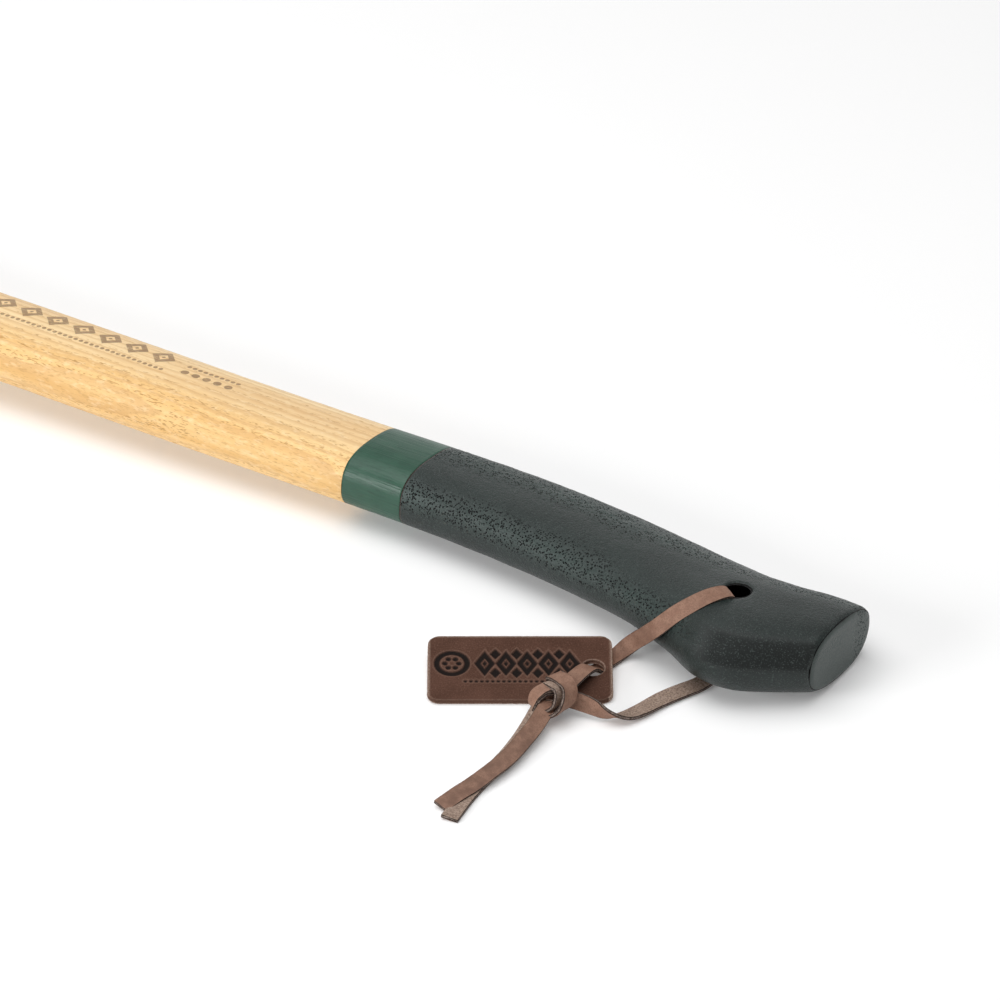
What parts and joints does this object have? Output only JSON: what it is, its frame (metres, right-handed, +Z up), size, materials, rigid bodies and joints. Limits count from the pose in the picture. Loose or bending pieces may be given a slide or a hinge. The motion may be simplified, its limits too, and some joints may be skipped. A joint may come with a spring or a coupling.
{
  "type": "hand adze",
  "caption": "Hand adze with a curved ash haft, dipped grip, green band, and a leather lace lanyard with a hang tag, lying on its side.",
  "frame": {"origin": "on the surface that the tool lies on, under the middle of the tool's own box, without its lanyard", "axes": "+X along the tool from the head to the knob, -Y towards the cutting edge, +Y towards the poll, +Z up"},
  "size_m": [0.5084, 0.1975, 0.0647],
  "materials": {
    "haft_wood": "oiled ash, smooth, straight grain",
    "band_paint": "satin green lacquer over wood",
    "grip_coat": "granular anti-slip dip coating, satin",
    "head_steel": "forged, dark lacquer, ground bright at the bevel and the poll's face",
    "wedge_wood": "beech, sawn end grain",
    "ring_steel": "bare turned steel",
    "lace_leather": "brown chrome-tanned lace, smooth grain side and fuzzy flesh side",
    "tag_leather": "dark brown waxed leather, debossed, pale cut edge"
  },
  "bodies": {
    "root": {"haft": "haft_wood", "colour_band": "band_paint", "grip_coating": "grip_coat", "adze_head": "head_steel", "wooden_wedge": "wedge_wood", "ring_wedge": "ring_steel", "lace_in_bore": "lace_leather", "lace_upper": "lace_leather", "lace_lower": "lace_leather", "lace_tail_right": "lace_leather", "lace_tail_left": "lace_leather", "lace_knot": "lace_leather"},
    "tag": {"hang_tag": "tag_leather"}
  },
  "joints": [
    {"name": "tag_swivel", "type": "hinge", "parent": "root", "child": "tag", "pos_m": [0.18427, -0.01499, 0.00362], "axis": [0.0918, -0.1474, 0.9848], "range_deg": [-30, 0]}
  ]
}
